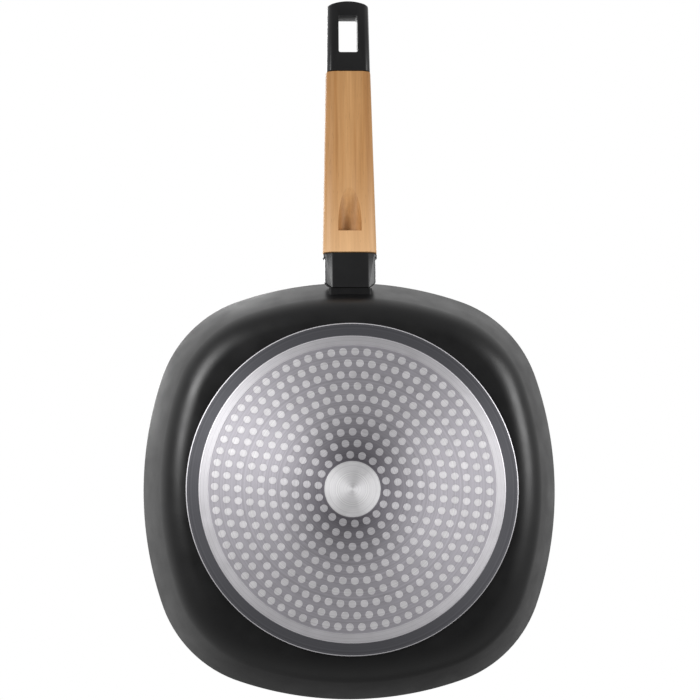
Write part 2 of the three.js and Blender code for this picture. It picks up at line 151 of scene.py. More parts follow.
class GrillPanPlate(bpy.types.PropertyGroup):
    """Sizes of the induction plate and its studs."""

    radius: length("Radius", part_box("induction_plate")[1].x / MM, "Radius of the plate")
    thickness: length("Thickness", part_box("induction_plate")[1].z / MM, "Thickness of the plate")
    eye_radius: length("Eye radius", 18.9, "Radius of the hole round the centre boss")
    joint: length("Joint", 0.1, "Gap between plate and casting")
    joint_bevel: length("Joint bevel", 0.25, "Bevel of the casting's edges along that gap")
    setback: length("Setback", 0.04, "How far the steel lies behind the studs")
    stud_pitch: length("Stud pitch", 7.65, "Distance from ring to ring of studs")
    stud_radius: length("Stud radius", 2.65, "Radius of the holes that the studs fill")
    stud_joint: length("Stud joint", 0.05, "Gap round a stud")
    stud_bevel: length("Stud bevel", 0.15, "Bevel round a stud's face")
    first_ring: bpy.props.IntProperty(name="First ring", description="Innermost ring of studs", default=3, min=1)
    last_ring: bpy.props.IntProperty(name="Last ring", description="Outermost ring of studs", default=12, min=1)
    studs_per_ring: bpy.props.IntProperty(
        name="Studs per ring", description="Studs that each ring has more than the last", default=6, min=1)
    start_angle: turn("Start angle", 6.3, "Place of the first stud of each ring")


class GrillPanHandle(bpy.types.PropertyGroup):
    """Sizes of the handle."""

    height: length("Height", 29, "Height of the handle's line at the boss")
    tilt: turn("Tilt", 7, "Rise of the handle")
    boss_reach: length("Boss reach", 1, "How far the boss stands out of the wall at the handle's height")
    wall_clearance: length("Wall clearance", 0.4, "Gap between the neck and the flared wall")
    fit_gap: length("Fit gap", 0.3, "Gap at each joint of the handle")
    chamfer_across: length("Chamfer across", 4.8, "Width of the chamfers along the handle")
    chamfer_down: length("Chamfer down", 2.3, "Depth of the chamfers along the handle")
    side_lean: length("Side lean", 0.6, "How far the handle's sides lean out to mid-height")
    neck_width: length("Neck width", 34.9, "Width of the ferrule's neck")
    neck_thickness: length("Neck thickness", 17, "Thickness of the ferrule's neck")
    neck_length: length("Neck length", 20.5, "Length of the ferrule's neck")
    neck_corner_across: length("Neck corner across", 4.6, "Width of the cut corners at the neck's front")
    neck_corner_along: length("Neck corner along", 3.7, "Length of the cut corners at the neck's front")
    neck_rounding: length("Neck rounding", 0.7, "Rounding of the neck's edges")
    flange_width: length("Flange width", 37, "Width of the ferrule's flange")
    flange_length: length("Flange length", 3, "Length of the ferrule's flange")
    grip_length: length("Grip length", 126, "Length of the wooden grip")
    grip_front_width: length("Grip front width", 36.6, "Width of the grip at the ferrule")
    grip_front_thickness: length("Grip front thickness", 18.9, "Thickness of the grip at the ferrule")
    grip_rear_width: length("Grip rear width", 30.6, "Width of the grip at the end cap")
    grip_rear_thickness: length("Grip rear thickness", 17.6, "Thickness of the grip at the end cap")
    grip_rounding: length("Grip rounding", 1.4, "Rounding of the chamfers' edges along the grip")
    pocket_edge: length("Pocket edge", 14.6, "Distance of the screw pocket from the grip's front")
    pocket_width: length("Pocket width", 15.8, "Width of the screw pocket at its straight edge")
    pocket_depth: length("Pocket depth", 8.8, "Depth of the screw pocket at its straight edge")
    pocket_angle: turn("Pocket angle", 16.8, "Slope of the screw pocket")
    screw_depth: length("Screw depth", 5, "Height of the fixing screw above the pocket's straight edge")
    screw_angle: turn("Screw angle", 6.53, "Slope of the fixing screw")
    bore_radius: length("Bore radius", 3.8, "Radius of the bore for the fixing screw's head")
    bore_depth: length("Bore depth", 6.6, "Depth of that bore in the pocket's end wall")
    bore_mouth: length("Bore mouth", 2.4, "How far that bore reaches into the pocket")
    shank_hole: length("Shank hole", 2.3, "Radius of the screw's hole through the wood")
    insert_hole: length("Insert hole", 3.3, "Radius of the hole in the ferrule for screw and thread insert")
    insert_reach: length("Insert reach", 35, "Distance of that hole's end from the pocket's end wall")
    cap_length: length("Cap length", 48.9, "Length of the end cap")
    cap_chamfer: length("Cap chamfer", 2.2, "Width of the end cap's edges")
    cap_rounding: length("Cap rounding", 1.3, "Rounding of those edges")
    cap_front_width: length("Cap front width", 30.1, "Width of the end cap at the grip")
    cap_front_thickness: length("Cap front thickness", 17.3, "Thickness of the end cap at the grip")
    cap_rear_width: length("Cap rear width", 28.5, "Width of the end cap at its end")
    cap_rear_thickness: length("Cap rear thickness", 16.4, "Thickness of the end cap at its end")
    cap_end_radius: length("Cap end radius", 32, "Radius of the end cap's end in plan")
    hole_width: length("Hole width", 13, "Width of the hanging hole")
    hole_length: length("Hole length", 26.2, "Length of the hanging hole")
    hole_rounding: length("Hole rounding", 1.2, "Corner radius of the hanging hole")
    hole_edge: length("Hole edge", 9.7, "Distance of the hanging hole from the end")
    edge_softness: length("Edge softness", 0.35, "Rounding of the moulded and sanded edges")


class GrillPanColours(bpy.types.PropertyGroup):
    """Colours of the pan's finishes."""

    coating: colour("Coating", "#0b0b0c", "Baked coat on the outside")
    painted_ring: colour("Painted ring", "#67676c", "Paint on the foot")
    aluminium: colour("Aluminium", "#f1eff3", "Bare turned aluminium")
    centre: colour("Centre", "#faf9fb", "Finely faced aluminium of the centre boss")
    steel: colour("Steel", "#cfccd3", "Perforated steel")
    # Painted shade: darker steel round the centre boss, standing in for the darker reflection there
    steel_painted_shade: colour("Steel centre", "#848188", "Perforated steel near the centre boss")
    studs: colour("Studs", "#fbf9fc", "Faced aluminium of the outer studs")
    # Painted shade: darker studs round the centre boss, standing in for the darker reflection there
    studs_painted_shade: colour("Studs centre", "#d6d4d8", "Faced aluminium of the studs near the centre boss")
    wood_light: colour("Light wood", "#d19f69", "Pale stripes of the wood")
    # Painted light: paler wood for the grip's end next to the ferrule, standing in for the light that falls there
    wood_painted_light: colour("Pale wood", "#f0c18e", "Wood next to the ferrule")
    wood_dark: colour("Dark wood", "#b17c46", "Dark stripes of the wood")
    phenolic: colour("Phenolic", "#171718", "Moulded handle parts")
    zinc: colour("Zinc", "#b9babd", "Plated screws, washers and inserts")
    brass: colour("Brass", "#c8a65a", "Thread insert of the end cap")
    floor: colour("Floor", "#e4e4e2", "Floor under the pan")


def add_node(tree, kind, inputs=None, **settings):
    """Adds a node, sets it, and feeds its inputs with plain values or with other nodes' outputs."""
    node = tree.nodes.new(kind)
    for key, value in settings.items():
        setattr(node, key, value)
    for key, value in (inputs or {}).items():
        if isinstance(value, bpy.types.NodeSocket):
            tree.links.new(value, node.inputs[key])
        else:
            node.inputs[key].default_value = value
    return node


def per(millimetres):
    """Texture scale at which one feature of the pattern is about that large."""
    return 1 / (millimetres * MM)


def new_material(name):
    """A material, its empty node tree, and the place on the object for its patterns."""
    material = bpy.data.materials.new(name)
    material.use_nodes = True
    tree = material.node_tree
    tree.nodes.clear()
    return material, tree, add_node(tree, "ShaderNodeTexCoord").outputs["Object"]


# Coat: clouds in mm, and the darkest and lightest grain as shares of the colour
COAT_CLOUD = 18
COAT_SHADES = {"To Min": 0.75, "To Max": 1.3}


def sprayed_coating(name, base, grain_mm, smoothest, roughest):
    """Cast aluminium with a sprayed and baked coat: near black and satin, with an even fine grain.
    The grain is drawn a little coarser than it is, so that it shows."""
    material, tree, place = new_material(name)
    grain = add_node(tree, "ShaderNodeTexNoise", {"Vector": place, "Scale": per(grain_mm), "Detail": 2.0})
    cloud = add_node(tree, "ShaderNodeTexNoise", {"Vector": place, "Scale": per(COAT_CLOUD), "Detail": 3.0})
    gloss = add_node(tree, "ShaderNodeMapRange", {
        "Value": cloud.outputs[0], **NOISE_SPAN, "To Min": smoothest, "To Max": roughest})
    speck = add_node(tree, "ShaderNodeMapRange", {"Value": grain.outputs[0], **NOISE_SPAN, **COAT_SHADES})
    tone = add_node(tree, "ShaderNodeVectorMath", {0: base[:3], "Scale": speck.outputs[0]}, operation="SCALE")
    relief = add_node(tree, "ShaderNodeBump", {"Height": grain.outputs[0], "Strength": 0.35, "Distance": 0.05 * MM})
    shader = add_node(tree, "ShaderNodeBsdfPrincipled", {
        "Base Color": tone.outputs[0], "Roughness": gloss.outputs[0], "IOR": 1.5, "Normal": relief.outputs[0]})
    add_node(tree, "ShaderNodeOutputMaterial", {"Surface": shader.outputs[0]})
    return material


# Turned metal: darkest and lightest line as shares of the colour, worn patches in mm and what wear takes from the
# roughness or adds to it, and the radii between which the colour goes from the centre's painted shade to the outer
# one
LINE_SHADES = {"To Min": 0.86, "To Max": 1.1}
WEAR_PATCH = 9
WEAR_POLISH, WEAR_DULLING = 0.04, 0.05
PAINTED_SHADE_FADE = {"From Min": 15 * MM, "From Max": 62 * MM}


def turned_metal(name, base, line_mm, roughness, anisotropy, metallic=1.0, centre=None):
    """Metal faced on a lathe: fine circles that draw each light out into a bow tie across the face.
    The circles are drawn coarser than the tool's feed, so that they show. A centre colour is painted round the
    middle,
    fading outwards: painted shade that stands in for the darker reflection there."""
    material, tree, place = new_material(name)
    flat = add_node(tree, "ShaderNodeVectorMath", {0: place, 1: (1.0, 1.0, 0.0)}, operation="MULTIPLY")
    radius = add_node(tree, "ShaderNodeVectorMath", {0: flat.outputs[0]}, operation="LENGTH").outputs["Value"]
    lines = add_node(tree, "ShaderNodeTexNoise", {
        "W": radius, "Scale": per(line_mm), "Detail": 3.0, "Roughness": 0.7}, noise_dimensions="1D")
    wear = add_node(tree, "ShaderNodeTexNoise", {"Vector": place, "Scale": per(WEAR_PATCH), "Detail": 4.0})
    shade = add_node(tree, "ShaderNodeMapRange", {"Value": lines.outputs[0], **NOISE_SPAN, **LINE_SHADES})
    dull = add_node(tree, "ShaderNodeMapRange", {
        "Value": wear.outputs[0], **NOISE_SPAN,
        "To Min": roughness - WEAR_POLISH, "To Max": roughness + WEAR_DULLING})
    tint = base[:3]
    # Painted shade: the centre colour round the middle, fading into the outer one
    if centre is not None:
        outward = add_node(tree, "ShaderNodeMapRange", {
            "Value": radius, **PAINTED_SHADE_FADE}, interpolation_type="SMOOTHSTEP")
        tint = add_node(tree, "ShaderNodeMix", {
            "Factor": outward.outputs[0], MIX_A: centre, MIX_B: base}, data_type="RGBA").outputs[MIX_RESULT]
    tone = add_node(tree, "ShaderNodeVectorMath", {0: tint, "Scale": shade.outputs[0]}, operation="SCALE")
    relief = add_node(tree, "ShaderNodeBump", {"Height": lines.outputs[0], "Strength": 0.2, "Distance": 0.02 * MM})
    across_lines = add_node(tree, "ShaderNodeTangent", direction_type="UV_MAP", uv_map=TURNED_UV)
    shader = add_node(tree, "ShaderNodeBsdfPrincipled", {
        "Base Color": tone.outputs[0], "Metallic": metallic, "Roughness": dull.outputs[0],
        "Anisotropic": anisotropy, "Tangent": across_lines.outputs[0], "Normal": relief.outputs[0]})
    add_node(tree, "ShaderNodeOutputMaterial", {"Surface": shader.outputs[0]})
    return material


# Wood: stripes, fibres and flecks across the grain in mm, and how they are drawn out along it
STRIPE, FIBRE, FLECK = 6, 1.1, 0.8
STRIPE_DRAW, FLECK_DRAW = (1.0, 0.03, 1.0), (1.0, 0.12, 1.0)

# Wood: which noise values make stripes and flecks, and shades of fibres and flecks as shares of the colour
STRIPE_SPAN = {"From Min": 0.32, "From Max": 0.68}
FLECK_SPAN = {"From Min": 0.66, "From Max": 0.78}
FIBRE_SHADES = {"To Min": 0.93, "To Max": 1.06}
FLECK_SHADES = {"To Min": 1.0, "To Max": 0.8}
FIBRE_ROUGHNESS = {"To Min": 0.62, "To Max": 0.5}

# Wood: length of the front end that is painted paler as painted light near the ferrule, and how much of
# the painted-light colour it takes at most
PAINTED_LIGHT_LENGTH = 75 * MM
PAINTED_LIGHT_SHARE = 0.75


def oiled_beech(name, light, dark, tilt, painted_light=None, front=0):
    """Beech, sanded and oiled: dull, with straight soft stripes and short dark flecks along the grip.
    With a painted-light colour its front end is painted paler, a painted light standing in for the light that falls
    near the ferrule; that end's place along the grip is given."""
    material, tree, place = new_material(name)
    along = add_node(tree, "ShaderNodeMapping", {"Vector": place, "Rotation": (-tilt, 0.0, 0.0)}).outputs[0]
    drawn = add_node(tree, "ShaderNodeVectorMath", {0: along, 1: STRIPE_DRAW}, operation="MULTIPLY").outputs[0]
    short = add_node(tree, "ShaderNodeVectorMath", {0: along, 1: FLECK_DRAW}, operation="MULTIPLY").outputs[0]
    stripes = add_node(tree, "ShaderNodeTexNoise", {
        "Vector": drawn, "Scale": per(STRIPE), "Detail": 4.0, "Roughness": 0.6})
    fibres = add_node(tree, "ShaderNodeTexNoise", {"Vector": drawn, "Scale": per(FIBRE), "Detail": 3.0})
    flecks = add_node(tree, "ShaderNodeTexNoise", {"Vector": short, "Scale": per(FLECK), "Detail": 1.0})
    band = add_node(tree, "ShaderNodeMapRange", {"Value": stripes.outputs[0], **STRIPE_SPAN})
    fibre = add_node(tree, "ShaderNodeMapRange", {"Value": fibres.outputs[0], **NOISE_SPAN, **FIBRE_SHADES})
    fleck = add_node(tree, "ShaderNodeMapRange", {"Value": flecks.outputs[0], **FLECK_SPAN, **FLECK_SHADES})
    mixed = add_node(tree, "ShaderNodeMix", {
        "Factor": band.outputs[0], MIX_A: dark, MIX_B: light}, data_type="RGBA").outputs[MIX_RESULT]
    # Painted light: paler towards the front end, standing in for the light that falls near the ferrule
    if painted_light is not None:
        place_along = add_node(tree, "ShaderNodeSeparateXYZ", {0: along}).outputs["Y"]
        near = add_node(tree, "ShaderNodeMapRange", {
            "Value": place_along, "From Min": front, "From Max": front + PAINTED_LIGHT_LENGTH,
            "To Min": 1.0, "To Max": 0.0})
        painted_light_falloff = add_node(tree, "ShaderNodeMath", {0: near.outputs[0], 1: 2.0}, operation="POWER")
        painted_light_amount = add_node(tree, "ShaderNodeMapRange", {"Value": painted_light_falloff.outputs[0], "To Max": PAINTED_LIGHT_SHARE})
        mixed = add_node(tree, "ShaderNodeMix", {
            "Factor": painted_light_amount.outputs[0], MIX_A: mixed, MIX_B: painted_light}, data_type="RGBA").outputs[MIX_RESULT]
    darkness = add_node(tree, "ShaderNodeMath", {0: fibre.outputs[0], 1: fleck.outputs[0]}, operation="MULTIPLY")
    tone = add_node(tree, "ShaderNodeVectorMath", {0: mixed, "Scale": darkness.outputs[0]}, operation="SCALE")
    gloss = add_node(tree, "ShaderNodeMapRange", {"Value": fibres.outputs[0], **NOISE_SPAN, **FIBRE_ROUGHNESS})
    relief = add_node(tree, "ShaderNodeBump", {"Height": fibres.outputs[0], "Strength": 0.3, "Distance": 0.06 * MM})
    shader = add_node(tree, "ShaderNodeBsdfPrincipled", {
        "Base Color": tone.outputs[0], "Roughness": gloss.outputs[0], "IOR": 1.45, "Normal": relief.outputs[0]})
    add_node(tree, "ShaderNodeOutputMaterial", {"Surface": shader.outputs[0]})
    return material


# Phenolic: the mould's blast and flow clouds in mm, and the clouds' shades as shares of the colour
BLAST, FLOW = 0.7, 12
FLOW_SHADES = {"To Min": 0.85, "To Max": 1.15}


def moulded_phenolic(name, base, smoothest, roughest):
    """Phenolic resin, compression moulded: black, with the fine blast of the mould and faint flow clouds.
    The mould's polished faces leave it satin and its core leaves it dull."""
    material, tree, place = new_material(name)
    blast = add_node(tree, "ShaderNodeTexNoise", {"Vector": place, "Scale": per(BLAST), "Detail": 2.0})
    flow = add_node(tree, "ShaderNodeTexNoise", {"Vector": place, "Scale": per(FLOW), "Detail": 3.0})
    tint = add_node(tree, "ShaderNodeMapRange", {"Value": flow.outputs[0], **NOISE_SPAN, **FLOW_SHADES})
    tone = add_node(tree, "ShaderNodeVectorMath", {0: base[:3], "Scale": tint.outputs[0]}, operation="SCALE")
    gloss = add_node(tree, "ShaderNodeMapRange", {
        "Value": blast.outputs[0], **NOISE_SPAN, "To Min": smoothest, "To Max": roughest})
    relief = add_node(tree, "ShaderNodeBump", {"Height": blast.outputs[0], "Strength": 0.2, "Distance": 0.04 * MM})
    shader = add_node(tree, "ShaderNodeBsdfPrincipled", {
        "Base Color": tone.outputs[0], "Roughness": gloss.outputs[0], "IOR": 1.5, "Normal": relief.outputs[0]})
    add_node(tree, "ShaderNodeOutputMaterial", {"Surface": shader.outputs[0]})
    return material


# Small metal parts: shades of stains as shares of the colour
STAIN_SHADES = {"To Min": 0.8, "To Max": 1.05}


def small_metal(name, base, stain_mm, smoothest, roughest):
    """Bright small metal parts: plated or turned, with cloudy patches where the surface has dulled."""
    material, tree, place = new_material(name)
    stain = add_node(tree, "ShaderNodeTexNoise", {"Vector": place, "Scale": per(stain_mm), "Detail": 4.0})
    tint = add_node(tree, "ShaderNodeMapRange", {"Value": stain.outputs[0], **NOISE_SPAN, **STAIN_SHADES})
    tone = add_node(tree, "ShaderNodeVectorMath", {0: base[:3], "Scale": tint.outputs[0]}, operation="SCALE")
    gloss = add_node(tree, "ShaderNodeMapRange", {
        "Value": stain.outputs[0], **NOISE_SPAN, "To Min": roughest, "To Max": smoothest})
    shader = add_node(tree, "ShaderNodeBsdfPrincipled", {
        "Base Color": tone.outputs[0], "Metallic": 1.0, "Roughness": gloss.outputs[0]})
    add_node(tree, "ShaderNodeOutputMaterial", {"Surface": shader.outputs[0]})
    return material


def mesh_of(bm, name):
    """A mesh that takes the place of a bmesh."""
    mesh = bpy.data.meshes.new(name)
    bm.to_mesh(mesh)
    bm.free()
    return mesh


def new_object(name, data):
    """An object in the scene's own collection."""
    made = bpy.data.objects.new(name, data)
    bpy.context.scene.collection.objects.link(made)
    return made


def new_piece(name, bm, materials, node=None):
    """Makes a finished piece of a bmesh, on the pan's body and in place of its CAD node."""
    bmesh.ops.recalc_face_normals(bm, faces=bm.faces)
    mesh = mesh_of(bm, name)
    for material in materials:
        mesh.materials.append(material)
    mesh.shade_smooth()
    mesh.set_sharp_from_angle(angle=CREASE_TURN)
    piece = new_object(name, mesh)
    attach(piece, "root")
    if node:
        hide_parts(node)


def carved(bm, *cuts):
    """The bmesh after boolean cuts, each a bmesh and its operation."""
    shapes = [("body", bm)] + [(operation, tool) for tool, operation in cuts]
    last_slot = max(face.material_index for _, shape in shapes for face in shape.faces)
    objects = []
    for label, shape in shapes:
        bmesh.ops.recalc_face_normals(shape, faces=shape.faces)
        mesh = mesh_of(shape, label)
        for _ in range(last_slot + 1):
            mesh.materials.append(None)
        objects.append(new_object(label, mesh))
    for (operation, _), tool in zip(shapes[1:], objects[1:]):
        modifier = objects[0].modifiers.new("cut", "BOOLEAN")
        modifier.operation = operation
        modifier.solver = "EXACT"
        modifier.object = tool
    result = bmesh.new()
    result.from_object(objects[0], bpy.context.evaluated_depsgraph_get())
    for used in objects:
        bpy.data.meshes.remove(used.data)
    if not result.faces:
        raise RuntimeError("the cut left nothing")
    return result


def rounded_edges(bm, edges, width, segments):
    bmesh.ops.bevel(
        bm, geom=edges, offset=width, offset_type="OFFSET", affect="EDGES", segments=segments,
        profile=0.5, material=-1, clamp_overlap=True)


def sharp_edges(bm):
    return [e for e in bm.edges if len(e.link_faces) == 2 and e.calc_face_angle() > SHARP_TURN]


def cylinder(sides, radius, depth, place):
    """A cylinder about the Z axis of a place."""
    bm = bmesh.new()
    bmesh.ops.create_cone(
        bm, cap_ends=True, segments=sides, radius1=radius, radius2=radius, depth=depth, matrix=place)
    return bm


def round_bar(radius, start, end):
    """A round bar along Y."""
    lie_down = Matrix.Translation((0, (start + end) / 2, 0)) @ Matrix.Rotation(math.radians(90), 4, "X")
    return cylinder(BORE_SIDES, radius, end - start, lie_down)


def chamfered_block(front, rear, start, end, across, down, lean=0):
    """A block along Y whose section goes evenly from front to rear, each a width and a thickness.
    Its long edges are chamfered and its sides lean out to mid-height."""
    bm = bmesh.new()
    rings = []
    for place, (width, thickness) in ((start, front), (end, rear)):
        quarter = [
            (width / 2, 0), (width / 2 - lean, thickness / 2 - down), (width / 2 - lean - across, thickness / 2)]
        half = quarter + [(-x, z) for x, z in reversed(quarter)]
        section = half + [(-x, -z) for x, z in half[1:-1]]
        rings.append([bm.verts.new((x, place, z)) for x, z in section])
    near, far = rings
    for i in range(len(near)):
        bm.faces.new((near[i - 1], near[i], far[i], far[i - 1]))
    bm.faces.new(near)
    bm.faces.new(far)
    bmesh.ops.recalc_face_normals(bm, faces=bm.faces)
    return bm


def handle_block(handle, front, rear, start, end):
    """A block with the section that the ferrule's neck and the grip share."""
    return chamfered_block(
        front, rear, start, end, handle.chamfer_across, handle.chamfer_down, handle.side_lean)


def slice_off(bm, place, normal):
    """Cuts off all that lies behind a plane and closes the cut."""
    cut = bmesh.ops.bisect_plane(
        bm, geom=bm.verts[:] + bm.edges[:] + bm.faces[:], plane_co=place, plane_no=normal,
        clear_inner=True)["geom_cut"]
    bmesh.ops.contextual_create(bm, geom=[e for e in cut if isinstance(e, bmesh.types.BMEdge)])
    bmesh.ops.recalc_face_normals(bm, faces=bm.faces)


def write_turned_uv(bm):
    """Lays a UV map whose first axis runs outwards, across the lathe's lines, and whose second runs round them."""
    layer = bm.loops.layers.uv.new(TURNED_UV)
    for face in bm.faces:
        middle = face.calc_center_median()
        about = math.atan2(middle.y, middle.x)
        for loop in face.loops:
            spot = loop.vert.co.xy
            angle = math.atan2(spot.y, spot.x) if spot.length > MM else about
            offset = (angle - about + math.pi) % (2 * math.pi) - math.pi
            loop[layer].uv = (spot.length * TURNED_UV_SCALE, (about + offset) / (2 * math.pi))


def wall_radius(body, top_radius, height):
    """Where a flared wall that reaches top_radius at the rim stands at some height."""
    return top_radius - (body.height - height) * math.tan(body.wall_flare)


def flat_radius(body, top_radius, bottom, rounding):
    """The radius out to which a bowl's bottom is flat."""
    return wall_radius(body, top_radius, bottom + rounding) - rounding / math.cos(body.wall_flare)


class Plan:
    """The pan's plan, as long as it is wide: bowed sides that run into round corners. The middle of a side's arc
    lies behind the centre, and the middle of a corner's arc lies out by the same distance both ways."""

    def __init__(self, body):
        self.width = body.rim_width / 2
        self.side, self.corner = body.side_arc, body.corner_arc
        self.side_place = self.width - self.side
        spread = 2 * (self.side - self.corner) ** 2 - self.side_place ** 2
        self.corner_place = (self.side_place + math.sqrt(spread)) / 2
        side_turn = math.atan2(self.corner_place, self.corner_place - self.side_place)
        self.side_end = self.side * math.sin(side_turn)
        self.corner_start = math.atan2(self.side_end, self.side_place + self.side * math.cos(side_turn))
        self.lengthening = body.rim_length / body.rim_width

    def stretch(self, angle):
        """How far the plan reaches at some angle, as a share of its half width."""
        quarter = math.pi / 2
        folded = abs(angle - quarter * round(angle / quarter))
        if folded < self.corner_start:
            place, radius = self.side_place, self.side
        else:
            place, radius, folded = self.corner_place * math.sqrt(2), self.corner, quarter / 2 - folded
        reach = place * math.cos(folded) + math.sqrt(radius ** 2 - (place * math.sin(folded)) ** 2)
        return reach / self.width

    def half_length(self, across):
        """How far the plan, lengthened, reaches along the handle's direction at some place across it."""
        x = abs(across)
        place, radius = (0, self.side) if x < self.side_end else (self.corner_place, self.corner)
        out = self.side_place if x < self.side_end else self.corner_place
        return (out + math.sqrt(radius ** 2 - (x - place) ** 2)) * self.lengthening


def inner_rim(body):
    return body.rim_width / 2 - body.wall / math.cos(body.wall_flare)


def floor_height(body):
    return body.foot_height + body.floor


def bowl_corner(body, top_radius, bottom, rounding, least_radius=0):
    """Points of the rounded corner between a bowl's flat bottom and its wall, going up."""
    centre = flat_radius(body, top_radius, bottom, rounding)
    first = math.asin(max(least_radius - centre, 0) / rounding)
    last = math.pi / 2 - body.wall_flare
    turns = [first + (last - first) * i / CORNER_STEPS for i in range(CORNER_STEPS + 1)]
    return [(centre + rounding * math.sin(a), bottom + rounding * (1 - math.cos(a))) for a in turns]


def rounded_corner(before, corner, after):
    """Points of a curve that leaves one line and joins the next round their corner."""
    knots = [Vector((*p, 0)) for p in (before, corner, after)]
    first = knots[0].lerp(knots[1], CORNER_PULL)
    last = knots[2].lerp(knots[1], CORNER_PULL)
    return [tuple(p.xy) for p in interpolate_bezier(knots[0], first, last, knots[2], EDGE_STEPS + 1)]


def casting_runs(body, plate):
    """The casting's profile from the centre of its underside over the rim to the centre of its floor,
    in runs of one finish, each with how far it follows the squared plan."""
    rim, mouth = body.rim_width / 2, inner_rim(body)
    soft, top = body.rim_rounding, body.height
    shoulder = top - soft
    eye = plate.eye_radius - plate.joint
    pocket = plate.radius + plate.joint
    depth = plate.thickness + plate.joint
    bevel = plate.joint_bevel
    bare, step = body.bare_ring_radius, body.painted_step
    foot = body.foot_radius
    outer_rim = rounded_corner((wall_radius(body, rim, shoulder), shoulder), (rim, top), (rim - soft, top))
    inner_edge = rounded_corner((mouth + soft, top), (mouth, top), (wall_radius(body, mouth, shoulder), shoulder))
    outer_corner = bowl_corner(body, rim, body.foot_height, body.corner_rounding, foot + body.foot_height / 4)
    inner_corner = bowl_corner(body, mouth, floor_height(body), body.corner_rounding - body.wall)
    return [
        (CENTRE, 0, [(0, 0), (eye / 2, 0), (eye - bevel, 0), (eye, bevel), (eye, depth)]),
        (TURNED, 0, [
            (pocket, depth), (pocket, bevel), (pocket + bevel, 0), (bare - body.bare_ring_bevel, 0), (bare, step)]),
        (PAINTED, 0, [(foot - body.foot_bevel, step)]),
        (TURNED, 0, [(foot, step + body.foot_bevel)]),
        (COATED, 0, [(foot, body.foot_height)]),
        (COATED, 1, outer_corner + outer_rim),
        (NON_STICK, 1, inner_edge + inner_corner[::-1] + [(0, floor_height(body))]),
    ]


def spin_casting(body, plate):
    """Revolves the profile, gives each run its finish and draws the bowl's circles out to the squared plan."""
    bm = bmesh.new()
    station = bm.verts.layers.int.new("station")
    finishes, squared, chain = [], [], []
    for finish, square, points in casting_runs(body, plate):
        for radius, height in points:
            chain.append(bm.verts.new((radius, 0, height)))
            chain[-1][station] = len(finishes)
            finishes.append(finish)
            squared.append(square)
    edges = [bm.edges.new(pair) for pair in zip(chain, chain[1:])]
    bmesh.ops.spin(
        bm, geom=chain + edges, cent=(0, 0, 0), axis=(0, 0, 1), angle=2 * math.pi, steps=BODY_STEPS, use_merge=True)
    bmesh.ops.remove_doubles(bm, verts=bm.verts, dist=MERGE_DISTANCE)
    for face in bm.faces:
        face.material_index = finishes[max(v[station] for v in face.verts)]
    plan = Plan(body)
    for v in bm.verts:
        if squared[v[station]]:
            v.co.xy *= plan.stretch(math.atan2(v.co.y, v.co.x))
            v.co.y *= plan.lengthening
    return bm


def add_rib(bm, body, across, reach):
    """One cooking rib with a rounded top and sloping ends, its foot sunk in the floor."""
    sunk = body.floor / 4
    tall = body.rib_height + sunk
    middle = floor_height(body) - sunk + tall / 2
    place = Matrix.Translation((across, 0, middle)) @ Matrix.Diagonal((body.rib_foot, 2 * reach, tall, 1))
    verts = bmesh.ops.create_cube(bm, size=1, matrix=place)["verts"]
    top = [v for v in verts if v.co.z > middle]
    for v in top:
        v.co.x = across + (v.co.x - across) * body.rib_top / body.rib_foot
        v.co.y *= 1 - tall / reach
    for face in {f for v in verts for f in v.link_faces}:
        face.material_index = NON_STICK
    top_edges = [e for e in bm.edges if e.verts[0] in top and e.verts[1] in top]
    rounded_edges(bm, top_edges, body.rib_top / 3, RIB_STEPS)


def add_ribs(bm, body):
    field = flat_radius(body, inner_rim(body), floor_height(body), body.corner_rounding - body.wall)
    field -= body.rib_end_space
    per_side = int((field - body.rib_foot / 2) / body.rib_pitch)
    plan = Plan(body)
    scale = field / plan.width
    for i in range(-per_side, per_side + 1):
        across = i * body.rib_pitch
        add_rib(bm, body, across, scale * plan.half_length(across / scale))


def add_boss(bm, body, handle):
    """The block that carries the handle, from inside the wall to its upright face."""
    size = (body.boss_width, body.boss_thickness)
    boss = chamfered_block(size, size, 0, seat(body, handle), body.boss_chamfer, body.boss_chamfer)
    bmesh.ops.translate(boss, verts=boss.verts, vec=(0, 0, handle.height))
    for v in boss.verts:
        if v.co.y < seat(body, handle) / 2:
            v.co.y = wall_length(body, v.co.z) - body.wall / 2
    mesh = mesh_of(boss, "boss")
    bm.from_mesh(mesh)
    bpy.data.meshes.remove(mesh)


def wall_length(body, height):
    """Where the wall stands along the handle's direction at some height."""
    return wall_radius(body, body.rim_width / 2, height) * Plan(body).lengthening


def seat(body, handle):
    """Place of the boss's upright face."""
    return wall_length(body, handle.height) + handle.boss_reach


def handle_place(scene):
    body, handle = scene.grill_pan_body, scene.grill_pan_handle
    return Matrix.Translation((0, seat(body, handle), handle.height)) @ Matrix.Rotation(handle.tilt, 4, "X")


def grip_start(handle):
    return handle.neck_length + handle.flange_length + handle.fit_gap


def cap_start(handle):
    return grip_start(handle) + handle.grip_length + handle.fit_gap


def pocket_edge_place(handle):
    """Where the pocket's straight edge lies along the handle and how far below its line."""
    share = handle.pocket_edge / handle.grip_length
    front, rear = handle.grip_front_thickness, handle.grip_rear_thickness
    return grip_start(handle) + handle.pocket_edge, (front + (rear - front) * share) / 2


def screw_bar(handle, radius, start, end):
    """A round bar on the fixing screw's line, measured from the pocket's end wall towards the driver."""
    edge, drop = pocket_edge_place(handle)
    line = Matrix.Translation((0, edge, handle.screw_depth - drop)) @ Matrix.Rotation(-handle.screw_angle, 4, "X")
    bar = round_bar(radius, start, end)
    bmesh.ops.transform(bar, matrix=line, verts=bar.verts)
    return bar


